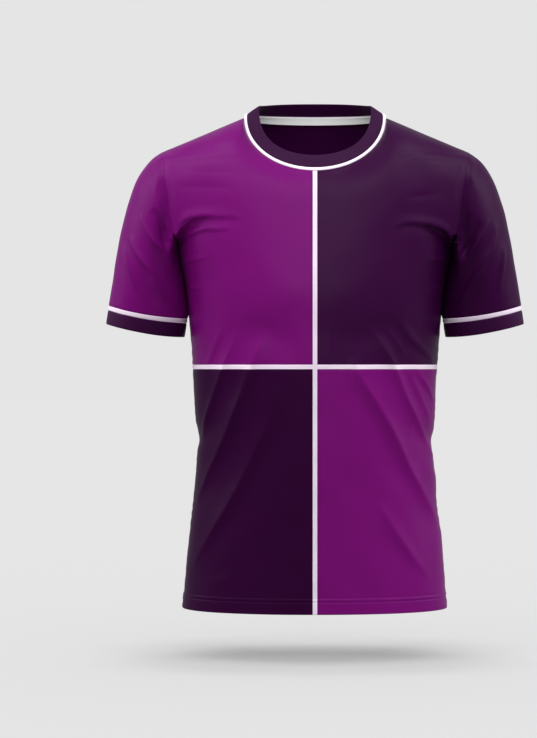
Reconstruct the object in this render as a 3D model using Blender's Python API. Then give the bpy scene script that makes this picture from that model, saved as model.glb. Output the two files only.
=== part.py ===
# Soccer jersey, men's medium, filled out with no wearer.
# Frame: metres, +Z up, the front faces -Y, +X is the wearer's left.
# The origin lies between the shoulders, at the height where the shoulder seams meet the collar.
#
# The front and the back are each one surface, surface(u, v):
#   u runs from the wearer's right side seam (-1) over the centre (0) to the left side seam (+1)
#   v runs from the hem (0) to the chest line (1), and on to the neckline and shoulder seams (2)
# Every panel is a stretch of such a surface, given a wall's thickness inwards.

from collections import namedtuple
import math

import bpy
import numpy as np

# Lengths and levels
HEM_Z = -0.7305
CHEST_Z = -0.182            # level of the underarm points
BAND_Z = -0.3705            # middle of the level white band
BAND_WIDTH = 0.0066
NECK_SHARE = 0.36           # share of a half chest that rises to the neckline, not to the shoulder

# Cloth
CLOTH = 0.0015
RIB_CLOTH = 0.0024
TAPE_CLOTH = 0.0011
HEM_EXTRA = 0.0008          # the turned-up hem is this much thicker
HEM_DEPTH = 0.0235
SEAM_GAP = 0.0003
SEAM_SETBACK = 0.0005       # inner edges stop this much shorter at a seam, so that turned cloth stays clear

# Neckline, seen from above an oval, from the side two planes blended at the shoulder
NECK_HALF_WIDTH = 0.1066
NECK_FRONT = 0.0975
NECK_BACK = 0.078
NECK_SIDE_Z = 0.0040
NECK_BACK_Z = 0.0085
NECK_FRONT_SLOPE = 0.8985
NECK_BLEND = 0.003
PIPING_WIDTH = 0.0050
PIPING_PROUD = 0.0004
RIB_WIDTH = 0.0212
COLLAR_LEAN_FRONT = math.radians(25.0)
COLLAR_LEAN_SIDE = math.radians(57.0)
COLLAR_LEAN_BACK = math.radians(30.0)
TAPE_ROWS = (-0.0078, -0.0035, 0.0010, 0.0048)    # from the panels' edge towards the neck
TAPE_HALF_ANGLE = math.radians(66.0)
PANEL_TOP = 0.03             # the strip of the back panel under the tape, in v

# Shoulder, armhole and sleeve, on the wearer's left
SHOULDER_TIP = (0.226, 0.0, -0.048)
UNDERARM_REACH = 0.104       # how far the armhole's lower curve reaches forward and back
UNDERARM_LEAN = 0.0015       # and how far it leans outwards
UNDERARM_SAG = 0.004         # and how far it hangs below the underarm point
CAP_REACH = 0.098            # how far its upper curve reaches forward and back
CHEST_SPRING = 0.36          # the cloth keeps its direction above the chest line for this share of its height
ARM_SHARE = 0.62             # share of a half chest where the armhole's shape begins to tell
ARM_POWER = 1.6

# The cloth of a half front or back rises from the chest line towards these points, just below the top edge.
# share runs from the centre, 0, past the neck's side, 0.36, to the shoulder tip, 1.
Rise = namedtuple("Rise", "share x front_reach front_z back_reach back_z")
RISES = (
    Rise(0.00, 0.0000, 0.1155, -0.1136, 0.1100, -0.0410),
    Rise(0.18, 0.0700, 0.1130, -0.0830, 0.1095, -0.0360),
    Rise(0.36, 0.1110, 0.1040, -0.0310, 0.1060, -0.0250),
    Rise(0.68, 0.1680, 0.0990, -0.0340, 0.1030, -0.0330),
    Rise(1.00, 0.2270, CAP_REACH, -0.0450, CAP_REACH, -0.0450),
)

# The sleeve's cloth leaves the armhole outwards and down by these, and comes in along the cuff's direction by
# arrive. Each is for the top of the sleeve, its front and back, or its underside.
SleevePull = namedtuple("SleevePull", "out down arrive")
TOP_PULL = SleevePull(0.0500, 0.0235, 0.140)
SIDE_PULL = SleevePull(0.0300, 0.0480, 0.070)
UNDER_PULL = SleevePull(0.0004, 0.0360, 0.030)
SLEEVE_SPREAD = 0.006        # how far the front and the back bulge where they leave the armhole
SLEEVE_CLEAR = 0.0004        # between the side of the body and the sleeve that lies against it
SLEEVE_PRESS = 0.0012        # how much further in the sleeve would hang if the body weren't there
PRESS_BLEND = 0.0003
PRESS_TURN = 0.12            # how far round the sleeve that is felt
PRESS_SHARES = (0.0, 0.12, 0.88, 1.0)    # grows from the armhole, is gone at the stripe

CUFF_CENTRE = (0.2545, 0.0, -0.3160)
CUFF_HALF_WIDTH = 0.0590
CUFF_HALF_DEPTH = 0.0560
CUFF_RISE = 0.0098           # the outer side of the cuff is this much above its centre
CUFF_DIP = 0.0045            # front and back of the cuff hang this much lower
CUFF_WIDTH = 0.0210
CUFF_DIRECTION = (-0.15, -0.10, 0.985)    # up the cuff at its front, and mirrored at its back
STRIPE_WIDTH = 0.0062
CUFF_STACK = CUFF_WIDTH + STRIPE_WIDTH + 2 * SEAM_GAP

SIDE_REACH = 0.75            # share of a section's depth up to which the side is looked up
NEWTON_STEPS = 8

# Mesh density
NECK_COLUMNS = 7
SHOULDER_COLUMNS = 8
LOWER_ROWS = 20
WAIST_ROWS = 10
CHEST_ROWS = 11
SLEEVE_ROWS = 10
RIB_ROWS = 3

# Colours, linear
BRIGHT_PURPLE = (0.205, 0.016, 0.184)
DARK_PLUM = (0.054, 0.010, 0.058)
RIB_PLUM = (0.050, 0.012, 0.055)
WHITE = (0.86, 0.83, 0.87)
TAPE_GREY = (0.50, 0.50, 0.51)
ROUGHNESS = 0.75

# fullness: 0.552 makes a section an ellipse, more squares it off
Section = namedtuple("Section", "z half_width front_depth back_depth fullness")
SECTIONS = (
    Section(-0.7305, 0.1980, 0.1180, 0.1180, 0.600),
    Section(-0.6900, 0.1948, 0.1165, 0.1150, 0.600),
    Section(-0.6300, 0.1895, 0.1145, 0.1095, 0.595),
    Section(-0.5700, 0.1820, 0.1130, 0.1035, 0.590),
    Section(-0.5100, 0.1778, 0.1120, 0.0990, 0.590),
    Section(-0.4500, 0.1790, 0.1120, 0.0975, 0.595),
    Section(-0.3705, 0.1832, 0.1150, 0.1000, 0.605),
    Section(-0.3000, 0.1885, 0.1190, 0.1070, 0.620),
    Section(-0.2430, 0.1950, 0.1215, 0.1135, 0.640),
    Section(-0.2050, 0.2030, 0.1220, 0.1170, 0.655),
    Section(-0.1820, 0.2062, 0.1215, 0.1180, 0.660),
)

# The largest folds. Each runs over the cloth behind points that are seen square on: x and z on the front and
# the back, y and z on a side. A hollow has a negative height. width is the distance over which a fold falls to
# about a third.
Fold = namedtuple("Fold", "sheet height width points")
BODY_FOLDS = (
    # wearer's right side of the front, drag lines down to the side seam
    Fold("front", 0.0045, 0.017, ((-0.112, -0.322), (-0.132, -0.367), (-0.151, -0.416), (-0.168, -0.462))),
    Fold("front", 0.0065, 0.017, ((-0.086, -0.374), (-0.112, -0.420), (-0.145, -0.500), (-0.172, -0.560))),
    Fold("front", 0.0065, 0.018, ((-0.057, -0.428), (-0.090, -0.500), (-0.132, -0.585), (-0.180, -0.668))),
    Fold("front", 0.0035, 0.016, ((-0.112, -0.670), (-0.140, -0.690), (-0.168, -0.708))),
    # wearer's left side of the front
    Fold("front", 0.0045, 0.017, ((0.113, -0.372), (0.132, -0.416), (0.151, -0.456), (0.168, -0.495))),
    Fold("front", 0.0065, 0.018, ((0.060, -0.383), (0.098, -0.441), (0.138, -0.520), (0.178, -0.602))),
    Fold("front", 0.0055, 0.017, ((0.084, -0.583), (0.128, -0.628), (0.164, -0.675))),
    # drag from the underarms over the chest, a hollow with a ridge below it
    Fold("front", -0.0060, 0.012, ((-0.197, -0.172), (-0.186, -0.160), (-0.168, -0.153), (-0.118, -0.151))),
    Fold("front", 0.0040, 0.012, ((-0.195, -0.196), (-0.180, -0.179), (-0.160, -0.173), (-0.130, -0.172))),
    Fold("front", -0.0055, 0.012, ((0.197, -0.172), (0.184, -0.163), (0.160, -0.158), (0.126, -0.163))),
    Fold("front", 0.0040, 0.012, ((0.195, -0.197), (0.180, -0.183), (0.158, -0.179), (0.130, -0.182))),
    # where the drag lines turn round the waist
    Fold("right side", -0.0045, 0.017, ((-0.075, -0.455), (0.0, -0.478), (0.060, -0.468))),
    Fold("left side", -0.0045, 0.017, ((-0.070, -0.462), (0.0, -0.484), (0.060, -0.470))),
    Fold("left side", 0.0025, 0.017, ((-0.060, -0.520), (0.0, -0.540), (0.060, -0.530))),
    # like folds behind
    Fold("back", 0.0060, 0.018, ((-0.050, -0.395), (-0.090, -0.455), (-0.130, -0.525), (-0.172, -0.600))),
    Fold("back", 0.0050, 0.017, ((-0.100, -0.330), (-0.132, -0.385), (-0.165, -0.455))),
    Fold("back", 0.0060, 0.018, ((0.064, -0.410), (0.098, -0.468), (0.134, -0.530), (0.174, -0.590))),
    Fold("back", 0.0045, 0.017, ((0.108, -0.345), (0.138, -0.400), (0.168, -0.462))),
    Fold("back", -0.0050, 0.013, ((-0.196, -0.168), (-0.175, -0.150), (-0.140, -0.146), (-0.105, -0.152))),
    Fold("back", -0.0050, 0.013, ((0.196, -0.170), (0.172, -0.154), (0.138, -0.151), (0.108, -0.158))),
)
SLEEVE_FOLDS = (
    Fold("front", 0.0045, 0.013, ((-0.246, -0.150), (-0.226, -0.195), (-0.207, -0.255))),
    Fold("front", -0.0045, 0.012, ((-0.262, -0.172), (-0.243, -0.225), (-0.230, -0.262))),
    Fold("front", 0.0045, 0.013, ((0.240, -0.150), (0.225, -0.195), (0.208, -0.250))),
    Fold("front", -0.0045, 0.012, ((0.258, -0.160), (0.238, -0.215), (0.226, -0.258))),
    Fold("back", 0.0045, 0.014, ((-0.244, -0.150), (-0.226, -0.205), (-0.212, -0.250))),
    Fold("back", 0.0045, 0.014, ((0.246, -0.155), (0.228, -0.205), (0.212, -0.255))),
)
FOLD_ENDS = 0.7              # how bluntly a fold tapers off
SLEEVE_CONTACT_Z = -0.315    # above this the sleeves lie against the sides, so no fold stands out there
CONTACT_LEFT = 0.05          # share of a fold that is left there

NORMAL_STEP = 1e-3
MIRROR = np.array((-1.0, 1.0, 1.0))
SEAM_EPSILON = 0.01          # distance from the centre, in u, over which the cloth's width per u is measured


def vector(x, y, z):
    return np.stack(np.broadcast_arrays(x, y, z), axis=-1).astype(float)


def ease(low, high, value):
    t = np.clip((value - low) / (high - low), 0.0, 1.0)
    return t * t * (3.0 - 2.0 * t)


def unit(vectors):
    return vectors / np.maximum(np.linalg.norm(vectors, axis=-1, keepdims=True), 1e-12)


def bezier(t, p0, p1, p2, p3):
    t = np.asarray(t, float)[..., None]
    s = 1.0 - t
    return s**3 * p0 + 3.0 * s * s * t * p1 + 3.0 * s * t * t * p2 + t**3 * p3


def through(x, xs, ys):
    """Smooth value at x of the curve through the points (xs, ys), xs rising."""
    slopes = np.gradient(ys, xs)
    x = np.clip(x, xs[0], xs[-1])
    i = np.clip(np.searchsorted(xs, x, side="right") - 1, 0, len(xs) - 2)
    step = xs[i + 1] - xs[i]
    t = (x - xs[i]) / step
    return (
        (1 + 2 * t) * (1 - t) ** 2 * ys[i]
        + t * (1 - t) ** 2 * step * slopes[i]
        + t * t * (3 - 2 * t) * ys[i + 1]
        + t * t * (t - 1) * step * slopes[i + 1]
    )


def rise_value(name, size):
    """A column of RISES, even about the centre, except x, which is odd."""
    shares = np.array([row.share for row in RISES])
    values = np.array([getattr(row, name) for row in RISES])
    mirror = -1.0 if name == "x" else 1.0
    both_shares = np.concatenate([-shares[:0:-1], shares])
    both_values = np.concatenate([mirror * values[:0:-1], values])
    return through(size, both_shares, both_values)


SECTION_COLUMNS = {name: np.array([getattr(row, name) for row in SECTIONS]) for name in Section._fields}


def section_value(name, z):
    return through(z, SECTION_COLUMNS["z"], SECTION_COLUMNS[name])


def torso(u, z, back):
    """The torso below the underarms. Each half section is a quarter oval from the centre to the side seam."""
    side = np.sign(u)
    half = section_value("half_width", z)
    depth = section_value("back_depth" if back else "front_depth", z) * (1.0 if back else -1.0)
    fullness = section_value("fullness", z)
    flat = bezier(
        np.abs(u),
        vector(0.0, depth, 0.0),
        vector(fullness * half, depth, 0.0),
        vector(half, fullness * depth, 0.0),
        vector(half, 0.0, 0.0),
    )
    return vector(side * flat[..., 0], flat[..., 1], z)


def neckline(angle):
    """Edge of the panels at the neck. angle is 0 at the centre front, a quarter turn at the left shoulder."""
    forward = np.cos(angle)
    y = -np.where(forward > 0, NECK_FRONT, NECK_BACK) * forward
    front_plane = NECK_SIDE_Z + NECK_FRONT_SLOPE * y
    z = -NECK_BLEND * np.logaddexp(-front_plane / NECK_BLEND, -NECK_BACK_Z / NECK_BLEND)
    return vector(NECK_HALF_WIDTH * np.sin(angle), y, z)


def top_edge(size, back):
    """Neckline, then the left shoulder seam."""
    along_neck = np.clip(size / NECK_SHARE, 0.0, 1.0) * math.pi / 2
    on_neck = neckline(math.pi - along_neck if back else along_neck)
    shoulder = neckline(np.array(math.pi / 2))
    along = np.clip((size - NECK_SHARE) / (1.0 - NECK_SHARE), 0.0, 1.0)[..., None]
    on_shoulder = shoulder + along * (np.array(SHOULDER_TIP) - shoulder)
    return np.where(size[..., None] <= NECK_SHARE, on_neck, on_shoulder)


def chest(u, share, back):
    """From the chest line up to the neckline and shoulder seam, share 0 to 1."""
    side = np.sign(u)
    size = np.abs(u)
    facing = 1.0 if back else -1.0
    bottom = torso(size, np.full_like(size, CHEST_Z), back)
    top = top_edge(size, back)
    below = torso(size, np.full_like(size, CHEST_Z - SEAM_EPSILON), back)
    height = np.linalg.norm(top - bottom, axis=-1, keepdims=True)
    at_arm = (ease(ARM_SHARE, 1.0, size) ** ARM_POWER)[..., None]
    arm_rise = np.array((UNDERARM_LEAN, facing * UNDERARM_REACH, -UNDERARM_SAG))
    rise = unit(bottom - below) * height * CHEST_SPRING * (1 - at_arm) + arm_rise * at_arm
    word = "back" if back else "front"
    before_top = vector(
        rise_value("x", size),
        facing * rise_value(word + "_reach", size),
        rise_value(word + "_z", size),
    )
    points = bezier(share, bottom, bottom + rise, before_top, top)
    points[..., 0] *= np.where(side < 0, -1.0, 1.0)
    return points


def body(u, v, back):
    u, v = np.broadcast_arrays(np.asarray(u, float), np.asarray(v, float))
    low = torso(u, HEM_Z + np.clip(v, 0.0, 1.0) * (CHEST_Z - HEM_Z), back)
    high = chest(u, np.clip(v - 1.0, 0.0, 1.0), back)
    return np.where((v <= 1.0)[..., None], low, high)


def armhole(turn):
    """Left armhole. turn is 0 and 2 at the underarm, 1 at the shoulder tip, and passes the front first."""
    turn = np.mod(turn, 2.0)
    ones = np.ones_like(turn)
    front = body(ones, 1.0 + np.clip(turn, 0.0, 1.0), False)
    back = body(ones, 3.0 - np.clip(turn, 1.0, 2.0), True)
    return np.where((turn <= 1.0)[..., None], front, back)


def cuff_edge(turn):
    angle = math.pi * turn
    outward = -np.cos(angle)
    forward = np.sin(angle)
    centre = np.array(CUFF_CENTRE)
    return vector(
        centre[0] + CUFF_HALF_WIDTH * outward,
        -CUFF_HALF_DEPTH * forward,
        centre[2] + CUFF_RISE * outward - CUFF_DIP * forward**2,
    )


def cuff_up(turn):
    """Direction from the cuff's edge up the sleeve."""
    inward, towards_front, up = CUFF_DIRECTION
    return unit(vector(inward, towards_front * np.sin(math.pi * turn), up))


def side_of_body(y, z):
    """How far out the body's left side stands, found by Newton's rule on a section's curve."""
    depth = np.where(y > 0, section_value("back_depth", z), section_value("front_depth", z))
    fullness = section_value("fullness", z)
    reach = np.minimum(np.abs(y) / depth, SIDE_REACH)
    s = reach / (3.0 * fullness)
    for _ in range(NEWTON_STEPS):
        t = 1.0 - s
        found = s**3 + 3.0 * s * s * t + 3.0 * fullness * s * t * t
        slope = 6.0 * s * t + fullness * (3.0 * t * t - 6.0 * s * t)
        s = s - (found - reach) / slope
    t = 1.0 - s
    return section_value("half_width", z) * (t**3 + 3.0 * s * t * t + 3.0 * fullness * s * s * t)


def free_sleeve(turn, share):
    """Left sleeve as it would hang free, from the armhole, share 0, to the white stripe, share 1."""
    turn = np.mod(turn, 2.0)
    forward = np.sin(math.pi * turn)
    outward = -np.cos(math.pi * turn)
    top = np.clip(outward, 0.0, 1.0) ** 2
    under = np.clip(-outward, 0.0, 1.0) ** 2
    side = forward**2
    start = armhole(turn)
    end = cuff_edge(turn) + cuff_up(turn) * CUFF_STACK
    pull = SleevePull(*(top * a + side * b + under * c for a, b, c in zip(TOP_PULL, SIDE_PULL, UNDER_PULL)))
    leave = vector(pull.out, -SLEEVE_SPREAD * forward * np.abs(forward), -pull.down)
    arrive = cuff_up(turn) * pull.arrive[..., None]
    return bezier(share, start, start + leave, end + arrive, end)


def sleeve(turn, share):
    """Left sleeve with its underside resting against the side of the body."""
    points = free_sleeve(turn, share)
    under = free_sleeve(np.zeros_like(turn), share)
    gap = under[..., 0] - side_of_body(under[..., 1], under[..., 2]) - SLEEVE_CLEAR
    turned = np.mod(turn, 2.0)
    near = np.exp(-((np.minimum(turned, 2.0 - turned) / PRESS_TURN) ** 2))
    hung = points[..., 0] - (np.maximum(gap, 0.0) + SLEEVE_PRESS) * near
    limit = side_of_body(points[..., 1], points[..., 2]) + SLEEVE_CLEAR
    pressed = limit + PRESS_BLEND * np.logaddexp(0.0, (hung - limit) / PRESS_BLEND)
    low, low_end, high, high_end = PRESS_SHARES
    felt = ease(low, low_end, share) * (1.0 - ease(high, high_end, share))
    points[..., 0] += (pressed - points[..., 0]) * felt
    return points


def sleeve_end(turn, rise):
    """Cuff and stripe, rise above the cuff's edge."""
    return cuff_edge(turn) + cuff_up(turn) * np.asarray(rise)[..., None]


def collar(angle, rise):
    """Piping and rib, rise from the panels' edge towards the neck."""
    lean_flat = np.where(np.cos(angle) > 0, COLLAR_LEAN_FRONT, COLLAR_LEAN_BACK)
    lean = lean_flat + (COLLAR_LEAN_SIDE - lean_flat) * np.sin(angle) ** 2
    inward = vector(-np.sin(angle), np.cos(angle), 0.0)
    direction = inward * np.sin(lean)[..., None]
    direction[..., 2] = np.cos(lean)
    return neckline(angle) + direction * np.asarray(rise)[..., None]


# Folds


def polyline(points, steps=6):
    """Smooth curve through the points, as short stretches."""
    points = np.asarray(points, float)
    at = np.arange(len(points), dtype=float)
    fine = np.linspace(0, len(points) - 1, steps * (len(points) - 1) + 1)
    return np.stack([through(fine, at, points[:, i]) for i in range(points.shape[1])], axis=-1)


def seen_grid(surface, columns, rows):
    grid = surface(*np.meshgrid(columns, rows))
    return grid.reshape(-1, 3)


def on_cloth(clouds, fold):
    """A fold's line over the cloth."""
    if fold.sheet.endswith("side"):
        cloud = np.concatenate([clouds["front"], clouds["back"]])
        cloud = cloud[cloud[:, 0] * (1.0 if fold.sheet == "left side" else -1.0) > 0]
        axis = 1
    else:
        cloud = clouds[fold.sheet]
        axis = 0
    found = []
    for across, z in fold.points:
        away = (cloud[:, axis] - across) ** 2 + (cloud[:, 2] - z) ** 2
        found.append(cloud[np.argmin(away)])
    return polyline(found)


def fold_height(points, folds):
    """How far the folds lift the cloth at each point, and how much of them is left at their ends."""
    lift = np.zeros(points.shape[:-1])
    for fold, line in folds:
        start, end = line[:-1], line[1:]
        run = end - start
        offset = points[..., None, :] - start
        t = np.clip((offset * run).sum(-1) / (run * run).sum(-1), 0.0, 1.0)
        away = np.linalg.norm(offset - t[..., None] * run, axis=-1)
        nearest = np.argmin(away, axis=-1)[..., None]
        distance = np.take_along_axis(away, nearest, -1)[..., 0]
        along = (nearest + np.take_along_axis(t, nearest, -1))[..., 0] / len(run)
        ends = np.sin(math.pi * np.clip(along, 0.0, 1.0)) ** FOLD_ENDS
        lift += fold.height * ends * np.exp(-((distance / fold.width) ** 2))
    return lift


def normals_of(surface, a, b, outward_sign):
    """Outward directions of a surface given as a function of two arrays."""
    across = surface(a + NORMAL_STEP, b) - surface(a - NORMAL_STEP, b)
    along = surface(a, b + NORMAL_STEP) - surface(a, b - NORMAL_STEP)
    return unit(np.cross(across, along)) * outward_sign


def folded(surface, folds, outward_sign, freedom, beside):
    """The surface with its folds.

    freedom(a, b) is 0 on the seams that stay put and 1 elsewhere. beside(a, points) is 1 where the sleeve and
    the side lie against each other, and nothing may stand out.
    """

    def shaped(a, b):
        a, b = np.broadcast_arrays(np.asarray(a, float), np.asarray(b, float))
        points = surface(a, b)
        lift = fold_height(points, folds) * freedom(a, b)
        held = 1.0 - (1.0 - CONTACT_LEFT) * beside(a, points)
        lift = np.where(lift > 0, lift * held, lift)
        return points + normals_of(surface, a, b, outward_sign) * lift[..., None]

    return shaped


def body_freedom(u, v):
    near_top = 1.0 - ease(1.90, 2.0, v)
    near_arm = 1.0 - ease(0.93, 1.0, np.abs(u)) * ease(0.97, 1.03, v)
    return near_top * near_arm


def body_beside_sleeve(u, points):
    return ease(SLEEVE_CONTACT_Z - 0.02, SLEEVE_CONTACT_Z, points[..., 2]) * ease(0.70, 0.84, np.abs(u))


def sleeve_freedom(turn, share):
    return ease(0.02, 0.16, share) * (1.0 - ease(0.86, 1.0, share))


def sleeve_beside_body(turn, points):
    turn = np.mod(turn, 2.0)
    return 1.0 - ease(0.14, 0.34, np.minimum(turn, 2.0 - turn))


# Walls


def shell(name, outer, inner, closed, colour):
    """A wall between two grids of points, open at its edges and closed by a rim there."""
    rows, columns = outer.shape[:2]
    vertices = np.concatenate([outer.reshape(-1, 3), inner.reshape(-1, 3)])
    behind = rows * columns

    def at(row, column, side=0):
        return side * behind + row * columns + column % columns

    faces = []
    spans = columns if closed else columns - 1
    for row in range(rows - 1):
        for column in range(spans):
            quad = (at(row, column), at(row, column + 1), at(row + 1, column + 1), at(row + 1, column))
            faces.append(quad)
            faces.append(tuple(index + behind for index in reversed(quad)))
    for column in range(spans):
        faces.append((at(0, column + 1), at(0, column), at(0, column, 1), at(0, column + 1, 1)))
        faces.append((at(rows - 1, column), at(rows - 1, column + 1), at(rows - 1, column + 1, 1),
                      at(rows - 1, column, 1)))
    if not closed:
        for row in range(rows - 1):
            faces.append((at(row, 0), at(row + 1, 0), at(row + 1, 0, 1), at(row, 0, 1)))
            faces.append((at(row + 1, columns - 1), at(row, columns - 1), at(row, columns - 1, 1),
                          at(row + 1, columns - 1, 1)))
    mesh = bpy.data.meshes.new(name)
    mesh.from_pydata(vertices.tolist(), [], faces)
    mesh.validate()
    mesh.shade_smooth()
    mesh.materials.append(material(name, colour))
    thing = bpy.data.objects.new(name, mesh)
    bpy.context.scene.collection.objects.link(thing)
    return thing


def material(name, colour):
    made = bpy.data.materials.new(name + "_finish")
    made.use_nodes = True
    shader = made.node_tree.nodes["Principled BSDF"]
    shader.inputs["Base Color"].default_value = (*colour, 1.0)
    shader.inputs["Roughness"].default_value = ROUGHNESS
    shader.inputs["Metallic"].default_value = 0.0
    return made


def pulled_in(points, normals, edges, gap):
    """Moves the named edges of a grid of points over the cloth, square to their seams and away from them."""
    grids = {
        "first_row": (0, slice(None)),
        "last_row": (-1, slice(None)),
        "first_column": (slice(None), 0),
        "last_column": (slice(None), -1),
    }
    neighbours = {
        "first_row": (1, slice(None)),
        "last_row": (-2, slice(None)),
        "first_column": (slice(None), 1),
        "last_column": (slice(None), -2),
    }
    moved = points.copy()
    for edge in edges:
        line = points[grids[edge]]
        tangent = unit(np.gradient(line, axis=0))
        inward = unit(np.cross(normals[grids[edge]], tangent))
        towards = ((points[neighbours[edge]] - line) * inward).sum(-1, keepdims=True)
        moved[grids[edge]] += inward * np.where(towards < 0, -gap, gap)
    return moved


def wall(name, surface, a, b, outward_sign, colour, edges=(), closed=False, thickness=CLOTH, proud=0.0,
         gap=SEAM_GAP / 2, mirrored=False):
    """A wall on the surface at the grid a, b. Its named edges stop short of the seam by gap."""
    points = surface(a, b)
    normals = normals_of(surface, a, b, outward_sign)
    depth = thickness(b)[..., None] if callable(thickness) else thickness
    outer = pulled_in(points + normals * proud, normals, edges, gap)
    inner = pulled_in(points - normals * depth, normals, edges, gap + SEAM_SETBACK)
    if mirrored:
        outer, inner = outer * MIRROR, inner * MIRROR
    if (outward_sign < 0) != mirrored:
        outer, inner = outer[:, ::-1], inner[:, ::-1]
    shell(name, outer, inner, closed, colour)


def hem_thickness(v):
    height = v * (CHEST_Z - HEM_Z)
    return CLOTH + HEM_EXTRA * (1.0 - ease(HEM_DEPTH * 0.9, HEM_DEPTH * 1.3, height))


# Grids


def level(z):
    return (z - HEM_Z) / (CHEST_Z - HEM_Z)


NECK_STEPS = np.linspace(0.0, NECK_SHARE, NECK_COLUMNS + 1)
SHOULDER_STEPS = np.linspace(NECK_SHARE, 1.0, SHOULDER_COLUMNS + 1)
HALF_COLUMNS = np.concatenate([NECK_STEPS, SHOULDER_STEPS[1:]])

LOWER_LEVELS = np.linspace(0.0, level(BAND_Z - BAND_WIDTH / 2 - SEAM_GAP), LOWER_ROWS + 1)
BAND_LEVELS = np.array([level(BAND_Z - BAND_WIDTH / 2), level(BAND_Z + BAND_WIDTH / 2)])
WAIST_LEVELS = np.linspace(level(BAND_Z + BAND_WIDTH / 2 + SEAM_GAP), 1.0, WAIST_ROWS + 1)
CHEST_LEVELS = np.linspace(1.0, 2.0, CHEST_ROWS + 1)
UPPER_LEVELS = np.concatenate([WAIST_LEVELS, CHEST_LEVELS[1:]])
ALL_LEVELS = np.concatenate([LOWER_LEVELS, UPPER_LEVELS])

SLEEVE_TURNS = np.concatenate([CHEST_LEVELS - 1.0, CHEST_LEVELS[1:-1]])
NECK_QUARTER = np.linspace(0.0, math.pi / 2, NECK_COLUMNS + 1)[1:]
NECK_ANGLES = np.concatenate([[0.0], *(NECK_QUARTER + math.pi / 2 * quarter for quarter in range(4))])[:-1]


def width_per_u(levels):
    return np.abs(body(SEAM_EPSILON, levels, False)[..., 0]) / SEAM_EPSILON


def quarter_grid(levels, side):
    """One side of the front, its first column moved out to the edge of the upright band."""
    a = np.repeat(HALF_COLUMNS[None, :], len(levels), axis=0)
    a[:, 0] = (BAND_WIDTH / 2 + SEAM_GAP) / width_per_u(levels)
    b = np.repeat(levels[:, None], a.shape[1], axis=1)
    return (a, b) if side > 0 else (-a[:, ::-1], b)


def upright_grid():
    half = (BAND_WIDTH / 2) / width_per_u(ALL_LEVELS)
    a = np.stack([-half, np.zeros_like(half), half], axis=1)
    return a, np.repeat(ALL_LEVELS[:, None], 3, axis=1)


# The jersey


def body_front(u, v):
    return body(u, v, False)


def body_back(u, v):
    return body(u, v, True)


def body_cloth():
    """The front and the back with their folds."""
    columns, rows = np.linspace(-1, 1, 121), np.linspace(0, 2, 161)
    clouds = {"front": seen_grid(body_front, columns, rows), "back": seen_grid(body_back, columns, rows)}
    lines = [(fold, on_cloth(clouds, fold)) for fold in BODY_FOLDS]
    front = folded(body_front, lines, 1.0, body_freedom, body_beside_sleeve)
    back = folded(body_back, lines, -1.0, body_freedom, body_beside_sleeve)
    return front, back


def sleeve_cloth(side):
    """The left sleeve with the folds of the sleeve on that side."""
    rows = np.linspace(0, 1, 61)
    clouds = {
        "front": seen_grid(sleeve, np.linspace(0.0, 1.0, 41), rows),
        "back": seen_grid(sleeve, np.linspace(1.0, 2.0, 41), rows),
    }
    lines = []
    for fold in SLEEVE_FOLDS:
        if np.sign(fold.points[0][0]) == side:
            on_left = fold._replace(points=[(side * x, z) for x, z in fold.points])
            lines.append((fold, on_cloth(clouds, on_left)))
    return folded(sleeve, lines, -1.0, sleeve_freedom, sleeve_beside_body)


def build_body():
    front, back = body_cloth()
    for side, word in ((1, "left"), (-1, "right")):
        seam = "last_column" if side > 0 else "first_column"
        upper, lower = (DARK_PLUM, BRIGHT_PURPLE) if side > 0 else (BRIGHT_PURPLE, DARK_PLUM)
        wall("front_upper_" + word, front, *quarter_grid(UPPER_LEVELS, side), 1.0, upper, (seam, "last_row"))
        wall("front_lower_" + word, front, *quarter_grid(LOWER_LEVELS, side), 1.0, lower, (seam,),
             thickness=hem_thickness)
        wall("front_band_level_" + word, front, *quarter_grid(BAND_LEVELS, side), 1.0, WHITE, (seam,))
    wall("front_band_upright", front, *upright_grid(), 1.0, WHITE, ("last_row",), thickness=hem_thickness)
    across = np.concatenate([-HALF_COLUMNS[:0:-1], HALF_COLUMNS])
    wall("back", back, *np.meshgrid(across, ALL_LEVELS), -1.0, DARK_PLUM,
         ("first_column", "last_column", "last_row"), thickness=hem_thickness)


def build_sleeves():
    cloth_grid = np.meshgrid(SLEEVE_TURNS, np.linspace(0.0, 1.0, SLEEVE_ROWS + 1))
    stripe_foot = CUFF_WIDTH + SEAM_GAP
    stripe_grid = np.meshgrid(SLEEVE_TURNS, (stripe_foot, stripe_foot + STRIPE_WIDTH))
    cuff_grid = np.meshgrid(SLEEVE_TURNS, (0.0, CUFF_WIDTH / 2, CUFF_WIDTH))
    for side, word, colour in ((1, "left", DARK_PLUM), (-1, "right", BRIGHT_PURPLE)):
        mirrored = side < 0
        wall("sleeve_" + word, sleeve_cloth(side), *cloth_grid, -1.0, colour, ("first_row",), closed=True,
             gap=SEAM_GAP, mirrored=mirrored)
        wall("sleeve_stripe_" + word, sleeve_end, *stripe_grid, 1.0, WHITE, closed=True, mirrored=mirrored)
        wall("cuff_" + word, sleeve_end, *cuff_grid, 1.0, RIB_PLUM, closed=True, thickness=RIB_CLOTH,
             mirrored=mirrored)


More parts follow.
